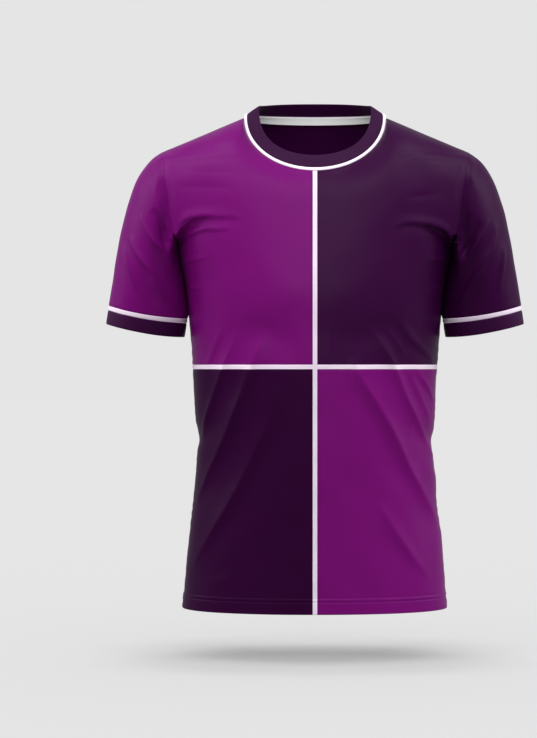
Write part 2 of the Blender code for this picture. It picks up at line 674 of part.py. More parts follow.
def build_collar():
    piping_rows = (2 * SEAM_GAP, PIPING_WIDTH / 2, PIPING_WIDTH)
    wall("collar_piping", collar, *np.meshgrid(NECK_ANGLES, piping_rows), 1.0, WHITE, closed=True,
         proud=PIPING_PROUD)
    rib_foot = PIPING_WIDTH + SEAM_GAP
    rib_rows = np.linspace(rib_foot, rib_foot + RIB_WIDTH, RIB_ROWS + 1)
    wall("collar_rib", collar, *np.meshgrid(NECK_ANGLES, rib_rows), 1.0, RIB_PLUM, closed=True,
         thickness=RIB_CLOTH)

    tape_angles = NECK_ANGLES[np.abs(NECK_ANGLES - math.pi) < TAPE_HALF_ANGLE]
    points, normals = behind_neck(*np.meshgrid(tape_angles, TAPE_ROWS))
    outer = points - normals * (RIB_CLOTH + 2 * SEAM_GAP)
    shell("neck_tape", outer, outer - normals * TAPE_CLOTH, False, TAPE_GREY)


def behind_neck(angle, rise):
    """The collar above its seam and the back panel below it, with their outward directions."""
    on_rib = collar(angle, np.maximum(rise, 0.0))
    rib_normals = normals_of(collar, angle, np.maximum(rise, 0.0), 1.0)
    u = (math.pi - angle) / (math.pi / 2) * NECK_SHARE
    panel_normals = normals_of(body_back, u, np.full_like(u, 2.0 - PANEL_TOP), -1.0)
    edge = unit(neckline(angle + SEAM_EPSILON) - neckline(angle - SEAM_EPSILON))
    down = unit(np.cross(edge, panel_normals))
    on_panel = neckline(angle) + down * np.maximum(-rise, 0.0)[..., None]
    above = (rise >= 0)[..., None]
    return np.where(above, on_rib, on_panel), np.where(above, rib_normals, panel_normals)


def main():
    for old in list(bpy.data.objects):
        bpy.data.objects.remove(old, do_unlink=True)
    build_body()
    build_sleeves()
    build_collar()


main()
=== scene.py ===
import math

import bpy
import numpy as np
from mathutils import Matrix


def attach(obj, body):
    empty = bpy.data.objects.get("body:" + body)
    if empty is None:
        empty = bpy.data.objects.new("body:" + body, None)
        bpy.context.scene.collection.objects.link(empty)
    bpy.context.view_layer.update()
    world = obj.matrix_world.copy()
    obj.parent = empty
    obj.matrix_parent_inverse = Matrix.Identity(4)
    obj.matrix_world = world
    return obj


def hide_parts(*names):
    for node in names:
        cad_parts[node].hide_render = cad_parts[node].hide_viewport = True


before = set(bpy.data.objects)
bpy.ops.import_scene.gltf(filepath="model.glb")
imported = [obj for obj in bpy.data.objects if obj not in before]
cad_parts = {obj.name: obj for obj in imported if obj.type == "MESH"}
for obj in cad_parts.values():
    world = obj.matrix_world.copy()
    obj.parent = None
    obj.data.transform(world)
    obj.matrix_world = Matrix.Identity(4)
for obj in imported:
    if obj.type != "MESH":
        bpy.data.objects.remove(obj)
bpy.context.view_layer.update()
bpy.ops.object.select_all(action="DESELECT")
print("frame loaded:", len(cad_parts), "solids")

# The cut of the shirt, in metres. The cloth follows the same surfaces as the solids, on a finer grid.
cut = {
    "hemZ": -0.7305, "chestZ": -0.182, "bandZ": -0.3705, "bandWidth": 0.0066, "seamGap": 0.0003,
    "clothThickness": 0.0011,
}


def vector(x, y, z):
    return np.stack(np.broadcast_arrays(x, y, z), axis=-1).astype(float)


def ease(low, high, value):
    t = np.clip((value - low) / (high - low), 0.0, 1.0)
    return t * t * (3.0 - 2.0 * t)


def unit(vectors):
    return vectors / np.maximum(np.linalg.norm(vectors, axis=-1, keepdims=True), 1e-12)


def bezier(t, p0, p1, p2, p3):
    t = np.asarray(t, float)[..., None]
    s = 1.0 - t
    return s**3 * p0 + 3.0 * s * s * t * p1 + 3.0 * s * t * t * p2 + t**3 * p3


# A smooth curve through the rows of a table.
def through(x, xs, ys):
    xs, ys = np.asarray(xs, float), np.asarray(ys, float)
    slopes = np.gradient(ys, xs)
    x = np.clip(x, xs[0], xs[-1])
    i = np.clip(np.searchsorted(xs, x, side="right") - 1, 0, len(xs) - 2)
    step = xs[i + 1] - xs[i]
    t = (x - xs[i]) / step
    return (
        (1 + 2 * t) * (1 - t) ** 2 * ys[i]
        + t * (1 - t) ** 2 * step * slopes[i]
        + t * t * (3 - 2 * t) * ys[i + 1]
        + t * t * (t - 1) * step * slopes[i + 1]
    )


# Level sections of the torso. At a fullness of 0.552 a section is an ellipse.
sections = {
    "z": (-0.7305, -0.69, -0.63, -0.57, -0.51, -0.45, -0.3705, -0.30, -0.243, -0.205, -0.182),
    "halfWidth": (0.1980, 0.1948, 0.1895, 0.1820, 0.1778, 0.1790, 0.1832, 0.1885, 0.1950, 0.2030, 0.2062),
    "frontDepth": (0.1180, 0.1165, 0.1145, 0.1130, 0.1120, 0.1120, 0.1150, 0.1190, 0.1215, 0.1220, 0.1215),
    "backDepth": (0.1180, 0.1150, 0.1095, 0.1035, 0.0990, 0.0975, 0.1000, 0.1070, 0.1135, 0.1170, 0.1180),
    "fullness": (0.600, 0.600, 0.595, 0.590, 0.590, 0.595, 0.605, 0.620, 0.640, 0.655, 0.660),
}


def section(name, z):
    return through(z, sections["z"], sections[name])


def torso(u, z, back):
    half = section("halfWidth", z)
    depth = section("backDepth" if back else "frontDepth", z) * (1.0 if back else -1.0)
    fullness = section("fullness", z)
    flat = bezier(
        np.abs(u),
        vector(0.0, depth, 0.0),
        vector(fullness * half, depth, 0.0),
        vector(half, fullness * depth, 0.0),
        vector(half, 0.0, 0.0),
    )
    return vector(np.sign(u) * flat[..., 0], flat[..., 1], z)


# The seam round the neck. share is how much of a half chest rises to it, and the rest rises to the shoulder.
neck = {
    "share": 0.36, "halfWidth": 0.1066, "front": 0.0975, "back": 0.078, "sideZ": 0.0040, "backZ": 0.0085,
    "frontSlope": 0.8985, "blend": 0.003,
}


def neckline(angle):
    forward = np.cos(angle)
    y = -np.where(forward > 0, neck["front"], neck["back"]) * forward
    frontPlane = neck["sideZ"] + neck["frontSlope"] * y
    z = -neck["blend"] * np.logaddexp(-frontPlane / neck["blend"], -neck["backZ"] / neck["blend"])
    return vector(neck["halfWidth"] * np.sin(angle), y, z)


# From the chest line up to the neck and the shoulder seam, and out to the armhole. At the underarm the cloth
# leans in, reaches out and sags by the amounts in underarm.
chestCut = {
    "shoulderTip": (0.226, 0.0, -0.048), "underarm": (0.0015, 0.104, 0.004), "spring": 0.36,
    "armShare": 0.62, "armPower": 1.6, "slopeOver": 0.01,
}

# Where the cloth of a half chest heads just below the top edge, from the centre, 0, to the shoulder tip, 1.
rises = {
    "share": (0.00, 0.18, 0.36, 0.68, 1.00),
    "x": (0.0000, 0.0700, 0.1110, 0.1680, 0.2270),
    "frontReach": (0.1155, 0.1130, 0.1040, 0.0990, 0.0980),
    "frontZ": (-0.1136, -0.0830, -0.0310, -0.0340, -0.0450),
    "backReach": (0.1100, 0.1095, 0.1060, 0.1030, 0.0980),
    "backZ": (-0.0410, -0.0360, -0.0250, -0.0330, -0.0450),
}


def riseValue(name, size):
    shares, values = np.array(rises["share"]), np.array(rises[name])
    mirror = -1.0 if name == "x" else 1.0
    bothShares = np.concatenate([-shares[:0:-1], shares])
    bothValues = np.concatenate([mirror * values[:0:-1], values])
    return through(size, bothShares, bothValues)


def topEdge(size, back):
    share = neck["share"]
    alongNeck = np.clip(size / share, 0.0, 1.0) * math.pi / 2
    onNeck = neckline(math.pi - alongNeck if back else alongNeck)
    shoulder = neckline(np.array(math.pi / 2))
    along = np.clip((size - share) / (1.0 - share), 0.0, 1.0)[..., None]
    onShoulder = shoulder + along * (np.array(chestCut["shoulderTip"]) - shoulder)
    return np.where(size[..., None] <= share, onNeck, onShoulder)


def chest(u, share, back):
    size = np.abs(u)
    facing = 1.0 if back else -1.0
    bottom = torso(size, np.full_like(size, cut["chestZ"]), back)
    below = torso(size, np.full_like(size, cut["chestZ"] - chestCut["slopeOver"]), back)
    top = topEdge(size, back)
    height = np.linalg.norm(top - bottom, axis=-1, keepdims=True)
    atArm = (ease(chestCut["armShare"], 1.0, size) ** chestCut["armPower"])[..., None]
    lean, reach, sag = chestCut["underarm"]
    armRise = np.array((lean, facing * reach, -sag))
    rise = unit(bottom - below) * height * chestCut["spring"] * (1 - atArm) + armRise * atArm
    word = "back" if back else "front"
    beforeTop = vector(
        riseValue("x", size),
        facing * riseValue(word + "Reach", size),
        riseValue(word + "Z", size),
    )
    points = bezier(share, bottom, bottom + rise, beforeTop, top)
    points[..., 0] *= np.where(u < 0, -1.0, 1.0)
    return points


# u runs from the right side seam, -1, to the left, 1, and v from the hem, 0, to the chest, 1, and the top, 2.
def body(u, v, back):
    u, v = np.broadcast_arrays(np.asarray(u, float), np.asarray(v, float))
    low = torso(u, cut["hemZ"] + np.clip(v, 0.0, 1.0) * (cut["chestZ"] - cut["hemZ"]), back)
    high = chest(u, np.clip(v - 1.0, 0.0, 1.0), back)
    return np.where((v <= 1.0)[..., None], low, high)


def bodyFront(u, v):
    return body(u, v, False)


def bodyBack(u, v):
    return body(u, v, True)


# The left armhole: 0 and 2 at the underarm, 1 at the shoulder tip, the front first.
def armhole(turn):
    turn = np.mod(turn, 2.0)
    ones = np.ones_like(turn)
    front = bodyFront(ones, 1.0 + np.clip(turn, 0.0, 1.0))
    back = bodyBack(ones, 3.0 - np.clip(turn, 1.0, 2.0))
    return np.where((turn <= 1.0)[..., None], front, back)


# Cuff and stripe. around and section are the numbers of faces round the arm and round the band itself.
cuff = {
    "centre": (0.2545, 0.0, -0.3160), "halfWidth": 0.0590, "halfDepth": 0.0560, "rise": 0.0098,
    "dip": 0.0045, "direction": (-0.15, -0.10, 0.985), "width": 0.0210, "thickness": 0.0024,
    "around": 160, "section": 28,
}
stripe = {"width": 0.0062, "thickness": 0.0013, "around": 160, "section": 16}


def cuffEdge(turn):
    outward, forward = -np.cos(math.pi * turn), np.sin(math.pi * turn)
    x, y, z = cuff["centre"]
    return vector(
        x + cuff["halfWidth"] * outward,
        y - cuff["halfDepth"] * forward,
        z + cuff["rise"] * outward - cuff["dip"] * forward**2,
    )


def cuffUp(turn):
    inward, towardsFront, up = cuff["direction"]
    return unit(vector(inward, towardsFront * np.sin(math.pi * turn), up))


def sleeveEnd(turn, rise):
    return cuffEdge(turn) + cuffUp(turn) * np.asarray(rise)[..., None]


# How the sleeve's cloth leaves the armhole and comes in to the cuff, on top, at the front and back, and
# underneath. Then how it rests against the side of the body.
sleeveCut = {
    "out": (0.0500, 0.0300, 0.0004), "down": (0.0235, 0.0480, 0.0360), "arrive": (0.140, 0.070, 0.030),
    "spread": 0.006, "clear": 0.00015, "press": 0.0020, "pressBlend": 0.0003, "pressTurn": 0.12,
    "pressShares": (0.0, 0.12, 0.88, 1.0), "sideReach": 0.75, "sideSteps": 8,
}
cuffStack = cuff["width"] + stripe["width"] + 2 * cut["seamGap"]


def freeSleeve(turn, share):
    turn = np.mod(turn, 2.0)
    forward, outward = np.sin(math.pi * turn), -np.cos(math.pi * turn)
    weights = (np.clip(outward, 0.0, 1.0) ** 2, forward**2, np.clip(-outward, 0.0, 1.0) ** 2)
    out, down, arrive = (
        sum(w * p for w, p in zip(weights, sleeveCut[name])) for name in ("out", "down", "arrive")
    )
    start = armhole(turn)
    end = sleeveEnd(turn, cuffStack)
    leave = vector(out, -sleeveCut["spread"] * forward * np.abs(forward), -down)
    return bezier(share, start, start + leave, end + cuffUp(turn) * arrive[..., None], end)


# How far out the body's left side stands at y and z, found by Newton's steps.
def sideOfBody(y, z):
    depth = np.where(y > 0, section("backDepth", z), section("frontDepth", z))
    fullness = section("fullness", z)
    reach = np.minimum(np.abs(y) / depth, sleeveCut["sideReach"])
    s = reach / (3.0 * fullness)
    for _ in range(sleeveCut["sideSteps"]):
        t = 1.0 - s
        found = s**3 + 3.0 * s * s * t + 3.0 * fullness * s * t * t
        s = s - (found - reach) / (6.0 * s * t + fullness * (3.0 * t * t - 6.0 * s * t))
    t = 1.0 - s
    return section("halfWidth", z) * (t**3 + 3.0 * s * t * t + 3.0 * fullness * s * s * t)


# The sleeve's underside rests against the side of the body, down to the stripe.
def sleeve(turn, share):
    points = freeSleeve(turn, share)
    under = freeSleeve(np.zeros_like(turn), share)
    gap = under[..., 0] - sideOfBody(under[..., 1], under[..., 2]) - sleeveCut["clear"]
    turned = np.mod(turn, 2.0)
    near = np.exp(-((np.minimum(turned, 2.0 - turned) / sleeveCut["pressTurn"]) ** 2))
    hung = points[..., 0] - (np.maximum(gap, 0.0) + sleeveCut["press"]) * near
    limit = sideOfBody(points[..., 1], points[..., 2]) + sleeveCut["clear"]
    blend = sleeveCut["pressBlend"]
    pressed = limit + blend * np.logaddexp(0.0, (hung - limit) / blend)
    low, lowEnd, high, highEnd = sleeveCut["pressShares"]
    pull = (pressed - points[..., 0]) * ease(low, lowEnd, share)
    points[..., 0] += pull * (1.0 - ease(high, highEnd, share))
    return points


# Above each armpit the cloth spans the hollow between chest and sleeve, down to the armpit's crease.
bridge = {
    "z": (-0.1875, -0.1725, -0.1575, -0.1350, -0.1125, -0.0900, -0.0675),
    "chestReach": (0.0880, 0.0889, 0.0894, 0.0891, 0.0875, 0.0835, 0.0763),
    "sleeveReach": (0.0680, 0.0704, 0.0734, 0.0764, 0.0759, 0.0725, 0.0594),
    "chestX": 0.160,
    "sleeveX": 0.220,
    "starts": (0.120, 0.150),
    "ends": (0.225, 0.242),
    "top": (-0.075, -0.050),
    "deep": (0.012, 0.045),
    "edge": (-0.0030, 0.0040),
    "slant": (0.2050, 0.2130, 0.0450),
    "blend": 0.0015,
    "rightCrease": ((0.1144, 0.1481, 0.1686, 0.1862, 0.1979, 0.2067),
                    (-0.1477, -0.1499, -0.1535, -0.1623, -0.1711, -0.1843)),
    "leftCrease": ((0.1217, 0.1422, 0.1598, 0.1774, 0.1921, 0.2009, 0.2053),
                   (-0.1638, -0.1616, -0.1623, -0.1682, -0.1770, -0.1887, -0.2019)),
}


def spanned(points):
    onLeft = points[..., 0] > 0
    x, reach, z = np.abs(points[..., 0]), np.abs(points[..., 1]), points[..., 2]
    t = (x - bridge["chestX"]) / (bridge["sleeveX"] - bridge["chestX"])
    chestRail = through(z, bridge["z"], bridge["chestReach"])
    sleeveRail = through(z, bridge["z"], bridge["sleeveReach"])
    rail = chestRail * (1 - t) + sleeveRail * t
    out = bridge["blend"] * np.logaddexp(reach / bridge["blend"], rail / bridge["blend"])
    crease = np.where(onLeft, through(x, *bridge["leftCrease"]), through(x, *bridge["rightCrease"]))
    low, high = bridge["edge"]
    slantFrom, slantTo, slantDrop = bridge["slant"]
    low = low - slantDrop * ease(slantFrom, slantTo, x)
    weight = ease(crease + low, crease + high, z) * (1.0 - ease(*bridge["top"], z))
    weight = weight * ease(*bridge["deep"], reach) * ease(*bridge["starts"], x)
    weight = weight * (1.0 - ease(*bridge["ends"], x))
    points[..., 1] += np.sign(points[..., 1]) * (out - reach) * weight
    return points


def clothFront(u, v):
    return spanned(bodyFront(u, v))


def clothBack(u, v):
    return spanned(bodyBack(u, v))


def leftSleeve(turn, share):
    return spanned(sleeve(turn, share))


def rightSleeve(turn, share):
    return spanned(sleeve(turn, share) * np.array((-1.0, 1.0, 1.0)))


# Collar: the piping stands on the neck's seam and the folded rib on the piping.
collarLean = {"front": math.radians(25.0), "side": math.radians(57.0), "back": math.radians(30.0)}
piping = {"width": 0.0050, "thickness": 0.0016, "dome": 0.0009, "around": 240, "section": 14}
rib = {"width": 0.0212, "thickness": 0.0024, "around": 240, "section": 28}


def collar(angle, rise):
    leanFlat = np.where(np.cos(angle) > 0, collarLean["front"], collarLean["back"])
    lean = leanFlat + (collarLean["side"] - leanFlat) * np.sin(angle) ** 2
    direction = vector(-np.sin(angle), np.cos(angle), 0.0) * np.sin(lean)[..., None]
    direction[..., 2] = np.cos(lean)
    return neckline(angle) + direction * np.asarray(rise)[..., None]


def normalsOf(surface, a, b, facing, step=5e-4):
    across = surface(a + step, b) - surface(a - step, b)
    along = surface(a, b + step) - surface(a, b - step)
    return unit(np.cross(across, along)) * facing


def level(z):
    return (z - cut["hemZ"]) / (cut["chestZ"] - cut["hemZ"])


def arcs(points, axis):
    steps = np.linalg.norm(np.diff(points, axis=axis), axis=-1)
    zero = np.zeros_like(np.take(steps, [0], axis=axis))
    return np.concatenate([zero, np.cumsum(steps, axis=axis)], axis=axis)


# The points of a surface, which way it faces there, and how far they lie across and along the cloth.
def measured(surface, a, b, facing):
    points = surface(a, b)
    return points, normalsOf(surface, a, b, facing), arcs(points, 1), arcs(points, 0)


# Folds, in millimetres. Each lies on the cloth behind points seen square on: x and z on the front and back,
# y and z on a side. widths are its reach on the left and the right of the way it runs, and a low sharp gives
# a crisp crest. fall is the share of its height by which the cloth dips on its left, or right if negative.
def fold(height, widths, points, sharp=2, fall=0, sheet="front"):
    height, widths, points = (np.array(part) / 1000 for part in (height, widths, points))
    return dict(sheet=sheet, height=height, widths=widths, points=points, sharp=sharp, fall=fall)


bodyFolds = [
    # the chest stands out, and falls in below it
    fold(5, (45, 45), ((-150, -254), (-75, -260), (0, -262), (75, -260), (150, -254))),
    fold(-3, (40, 40), ((-150, -138), (-75, -142), (0, -145), (75, -142), (150, -138))),
    fold(-4.2, (24, 24), ((-22, -330), (-78, -323), (-127, -314))),
    fold(-4.2, (24, 24), ((22, -330), (83, -323), (131, -314))),
    # drag lines down to the side seam, the wearer's right
    fold(1.6, (5, 7), ((-134, -310), (-148, -343), (-162, -376)), 2, 0.5),
    fold(3.6, (8.5, 8), ((-112, -314), (-130, -361), (-148, -412), (-161, -449), (-171, -478)), 1.3, 0.5),
    fold(5.2, (10.5, 11), (
        (-68, -314), (-89, -361), (-100, -392), (-116, -434), (-133, -478), (-155, -526),
        (-175, -573)), 1.3, 0.5),
    fold(4, (10.5, 12), (
        (-48, -401), (-78, -475), (-106, -535), (-130, -581), (-154, -619), (-180, -665)), 1.35, 0.5),
    fold(0.9, (8, 8), ((-116, -668), (-134, -684), (-160, -691))),
    # and the wearer's left
    fold(2, (8, 5), ((117, -295), (142, -330), (175, -363)), 2, -0.6),
    fold(1.2, (4, 4), ((102, -310), (116, -330), (132, -354))),
    fold(4, (8, 8.5), (
        (75, -308), (94, -332), (113, -363), (136, -420), (158, -464), (176, -504)), 1.3, -0.5),
    fold(1.5, (5, 5), ((137, -378), (155, -411), (172, -453))),
    fold(1.5, (6, 4), ((149, -378), (167, -400), (177, -425)), 2, -0.5),
    fold(5.4, (12, 10.5), (
        (55, -358), (68, -387), (85, -416), (113, -464), (136, -513), (161, -564), (183, -608)), 1.3, -0.5),
    fold(2.8, (10, 10), ((92, -570), (108, -597), (128, -628), (146, -652), (169, -681)), 1.4, -0.4),
    # creases from the underarms over the chest, the wearer's right
    fold(3, (8.5, 3.6), (
        (-205, -187), (-208, -175), (-201, -161), (-184, -152), (-164, -149), (-143, -150),
        (-109, -152)), 2, -0.9),
    fold(2.2, (5, 2.8), (
        (-203, -204), (-205, -189), (-197, -178), (-179, -173), (-161, -169), (-144, -169),
        (-124, -168)), 2, -0.8),
    fold(1.4, (4, 2.6), ((-200, -217), (-191, -215), (-177, -213), (-153, -211)), 2, -0.6),
    fold(1.4, (3.2, 3.2), ((-193, -253), (-182, -253), (-166, -255))),
    # and the wearer's left
    fold(3.4, (3.8, 8.5), (
        (203, -206), (205, -189), (203, -178), (192, -169), (175, -163), (157, -160), (135, -160),
        (114, -166)), 2, 0.9),
    fold(1.4, (2.6, 4), ((201, -213), (185, -213), (160, -213)), 2, 0.6),
    fold(1.4, (3.2, 3.2), ((193, -255), (182, -255), (168, -257))),
    # ripples over the upper chest
    fold(-0.5, (4, 4), ((-165, -46), (-132, -47), (-100, -48))),
    fold(-0.7, (4.5, 4.5), ((-184, -64), (-132, -64), (-85, -66))),
    fold(-0.5, (4, 4), ((-184, -82), (-151, -85), (-116, -85))),
    fold(-0.7, (5, 5), ((-204, -107), (-161, -107), (-115, -110))),
    fold(-0.5, (4, 4), ((104, -56), (128, -54), (152, -53))),
    fold(-0.6, (4, 4), ((83, -64), (118, -62), (161, -60))),
    fold(-0.8, (5, 5), ((131, -123), (159, -120), (190, -115))),
    # where the drag lines turn round the waist
    fold(-4.5, (17, 17), ((-75, -455), (0, -478), (60, -468)), sheet="right side"),
    fold(-4.5, (17, 17), ((-70, -462), (0, -484), (60, -470)), sheet="left side"),
    fold(2.5, (17, 17), ((-60, -520), (0, -540), (60, -530)), sheet="left side"),
    # like folds behind
    fold(4.5, (11, 13), ((-50, -395), (-90, -455), (-130, -525), (-172, -600)), 1.6, -0.6, sheet="back"),
    fold(3.8, (10, 12), ((-100, -330), (-132, -385), (-165, -455)), 1.8, -0.6, sheet="back"),
    fold(4.5, (13, 11), ((64, -410), (98, -468), (134, -530), (174, -590)), 1.6, 0.6, sheet="back"),
    fold(3.6, (12, 10), ((108, -345), (138, -400), (168, -462)), 1.8, 0.6, sheet="back"),
    fold(3, (13, 9), ((60, -560), (104, -612), (150, -668)), 1.8, 0.5, sheet="back"),
    fold(3, (4, 11), (
        (-203, -200), (-200, -175), (-180, -155), (-145, -146), (-105, -150)), 2, 0.8, sheet="back"),
    fold(3, (11, 4), (
        (203, -200), (199, -178), (178, -158), (142, -150), (108, -156)), 2, -0.8, sheet="back"),
]

rightSleeveFolds = [
    fold(-5, (4.5, 6), ((-240, -138), (-231, -153), (-223, -169), (-218, -187), (-210, -207)), 1.8),
    fold(5.2, (4, 4.4), (
        (-258, -143), (-250, -164), (-238, -183), (-226, -198), (-215, -213), (-203, -231)), 1.5),
    fold(6.2, (7, 5), ((-273, -177), (-259, -204), (-244, -227), (-234, -248), (-221, -276)), 1.4, -0.7),
    fold(2.8, (5, 4.5), ((-285, -186), (-276, -222), (-264, -257)), 2, -0.4),
    fold(-1, (4, 4), ((-230, -92), (-223, -123), (-219, -146))),
    fold(3, (6, 8), ((-246, -140), (-228, -190), (-210, -240)), 1.8, 0.6, sheet="back"),
    fold(2.2, (6, 6), ((-268, -170), (-250, -225), (-230, -275)), 1.8, 0.5, sheet="back"),
]

leftSleeveFolds = [
    fold(-3.6, (3.4, 3.4), ((226, -144), (219, -163), (212, -184), (207, -207)), 1.8),
    fold(-5, (5, 4.5), ((241, -157), (235, -174), (225, -193), (213, -213)), 1.8),
    fold(5.2, (4.4, 4.2), ((256, -153), (245, -179), (228, -202), (214, -224), (205, -248)), 1.5),
    fold(5.8, (5, 6), ((269, -161), (261, -192), (249, -216), (230, -247), (213, -277)), 1.4, -0.6),
    fold(2.8, (4.5, 5), ((282, -183), (278, -224), (270, -260))),
    fold(-0.9, (7, 7), ((231, -95), (233, -119), (227, -140))),
    fold(3, (8, 6), ((246, -144), (230, -195), (211, -246)), 1.8, -0.6, sheet="back"),
    fold(2, (6, 6), ((270, -175), (252, -222), (232, -270)), 1.8, -0.5, sheet="back"),
]


def smoothLine(points, steps=6):
    points = np.asarray(points, float)
    at = np.arange(len(points), dtype=float)
    fine = np.linspace(0, len(points) - 1, steps * (len(points) - 1) + 1)
    return np.stack([through(fine, at, points[:, i]) for i in range(points.shape[1])], axis=-1)


# Give each fold its line, through those points of the cloth that lie behind its own.
def layFolds(folds, clouds):
    for each in folds:
        if each["sheet"].endswith("side"):
            cloud = np.concatenate([clouds["front"], clouds["back"]])
            cloud = cloud[cloud[:, 0] * (1.0 if each["sheet"] == "left side" else -1.0) > 0]
            axis = 1
        else:
            cloud = clouds[each["sheet"]]
            axis = 0
        found = []
        for across, z in each["points"]:
            away = (cloud[:, axis] - across) ** 2 + (cloud[:, 2] - z) ** 2
            found.append(cloud[np.argmin(away)])
        each["line"] = smoothLine(found)


# How far a fold reaches, in its own widths, without and with a dip beside it, how wide the dip is,
# and how it runs out at its ends.
foldShape = {"reach": 3.0, "dipReach": 7.0, "dipWidth": 3.0, "endPower": 0.7}


def foldLift(points, normals, folds):
    lift = np.zeros(points.shape[:-1])
    for each in folds:
        start, run = each["line"][:-1], np.diff(each["line"], axis=0)
        reach = foldShape["dipReach" if each["fall"] else "reach"] * max(each["widths"])
        low, high = each["line"].min(axis=0) - reach, each["line"].max(axis=0) + reach
        near = ((points > low) & (points < high)).all(axis=-1)
        if not near.any():
            continue
        offset = points[near][:, None, :] - start
        t = np.clip((offset * run).sum(-1) / (run * run).sum(-1), 0.0, 1.0)
        beside = offset - t[..., None] * run
        distance = np.linalg.norm(beside, axis=-1)
        pick = np.argmin(distance, axis=-1)
        rows = np.arange(len(pick))
        along = (pick + t[rows, pick]) / len(run)
        onLeft = (np.cross(normals[near], run[pick]) * beside[rows, pick]).sum(-1) > 0
        width = np.where(onLeft, *each["widths"])
        away = distance[rows, pick]
        deep = np.where(onLeft == (each["fall"] > 0), abs(each["fall"]), 0.0)
        crest = (1.0 + deep) * np.exp(-((away / width) ** each["sharp"]))
        dip = deep * np.exp(-((away / (foldShape["dipWidth"] * width)) ** 2))
        ends = np.sin(math.pi * np.clip(along, 0.0, 1.0)) ** foldShape["endPower"]
        lift[near] += each["height"] * ends * (crest - dip)
    return lift


# Beside the sleeve or the body, what stands out of the cloth is pressed nearly flat.
def pressFlat(lift, beside, share=0.95):
    return np.where(lift > 0, lift * (1.0 - share * beside), lift)


# A slow unevenness of the cloth. The factors only keep its waves from repeating.
def wander(points, amount, length):
    k = 2 * math.pi / length
    x, y, z = points[..., 0] * k, points[..., 1] * k, points[..., 2] * k
    waves = np.sin(0.9 * x + 0.5 * y + 1.3) * np.sin(0.7 * z + 0.4 * x + 0.2)
    waves = waves + 0.6 * np.sin(1.7 * z - 0.8 * y + 2.1) * np.sin(1.3 * x + 4.0)
    return amount * waves


# A seam pulls the cloth in at its edge, and beside it the cloth swells by a share of that depth.
# Puckers start a little way from it and fade.
seam = {
    "width": 0.0013, "swell": 0.35, "swellAt": 0.0048, "swellWidth": 0.003, "puckerStart": 0.0025,
    "puckerFade": 0.009,
}


def seamDip(distance, depth):
    pulled = np.exp(-((distance / seam["width"]) ** 2))
    swollen = np.exp(-(((distance - seam["swellAt"]) / seam["swellWidth"]) ** 2))
    return -depth * pulled + seam["swell"] * depth * swollen


# The beat of the puckers wanders, and so does their strength.
def puckers(distance, along, height, pitch):
    beat = np.sin(2 * math.pi * along / pitch + 1.7 * np.sin(2 * math.pi * along / (4.3 * pitch)))
    strength = 0.6 + 0.4 * np.sin(2 * math.pi * along / (7.1 * pitch) + 0.8)
    fade = np.exp(-distance / seam["puckerFade"])
    return height * beat * strength * fade * ease(0.0, seam["puckerStart"], distance)


# The grid of the cloth: how far from a seam its first lines stand, at what height its columns are even, how
# near points are welded, and how an edge is rounded, as a share of the thickness.
grid = {
    "edge": (0.0, 0.0007, 0.0015, 0.0026, 0.0042), "evenZ": -0.30, "evenSteps": 801, "weld": 2e-5,
    "bevel": 0.12, "bevelSteps": 2, "bevelAngle": math.radians(60.0),
}


# Shares of a length, close together at the ends asked for and about coarse apart between them.
def graded(length, coarse, first, last):
    fine = np.array(grid["edge"])
    low, high = (fine[-1] if first else 0.0), length - (fine[-1] if last else 0.0)
    count = max(2, int(round((high - low) / coarse)))
    steps = [np.linspace(low, high, count + 1)]
    if first:
        steps.insert(0, fine[:-1])
    if last:
        steps.append(length - fine[-2::-1])
    return np.concatenate(steps) / length


# Columns of a half panel as u, even along the cloth at the chest, with one at the high shoulder point.
def halfColumns(coarse):
    us = np.linspace(0.0, 1.0, grid["evenSteps"])
    line = torso(us, np.full_like(us, grid["evenZ"]), False)
    lengths = arcs(line, 0)
    toNeck = np.interp(neck["share"], us, lengths)
    total = lengths[-1]
    inner = graded(toNeck, coarse, True, False) * toNeck
    outer = toNeck + graded(total - toNeck, coarse, False, True) * (total - toNeck)
    return np.interp(np.concatenate([inner, outer[1:]]), lengths, us)


def rowsBetween(low, high, coarse, first, last):
    return level(low + graded(high - low, coarse, first, last) * (high - low))


def justAdded(name):
    made = bpy.context.object
    made.name = name
    return made


# Move a new primitive's points to their places, and give back the point at each corner of its faces.
def place(mesh, points):
    mesh.vertices.foreach_set("co", points.astype(np.float32).ravel())
    mesh.update()
    corners = np.empty(len(mesh.loops), np.int32)
    mesh.loops.foreach_get("vertex_index", corners)
    return corners


def mapCorners(mesh, uvs):
    mesh.uv_layers[0].data.foreach_set("uv", uvs.astype(np.float32).ravel())


def gridPiece(name, points, uvs, closed=False):
    rows, columns = points.shape[:2]
    bpy.ops.mesh.primitive_grid_add(x_subdivisions=columns - 1, y_subdivisions=rows - 1, size=1.0)
    piece = justAdded(name)
    piece.data.name = name
    corners = place(piece.data, points)
    mapCorners(piece.data, uvs.reshape(-1, 2)[corners])
    if closed:
        weld = piece.modifiers.new("weld", "WELD")
        weld.merge_threshold = grid["weld"]
        bpy.ops.object.modifier_apply(modifier=weld.name)
    return piece


def thicken(piece, thickness):
    solid = piece.modifiers.new("solid", "SOLIDIFY")
    solid.thickness = thickness
    solid.offset = -1.0
    solid.use_even_offset = True
    bpy.ops.object.modifier_apply(modifier=solid.name)
    bevel = piece.modifiers.new("edge", "BEVEL")
    bevel.width = grid["bevel"] * thickness
    bevel.segments = grid["bevelSteps"]
    bevel.limit_method = "ANGLE"
    bevel.angle_limit = grid["bevelAngle"]
    bpy.ops.object.modifier_apply(modifier=bevel.name)
    bpy.ops.object.shade_smooth()


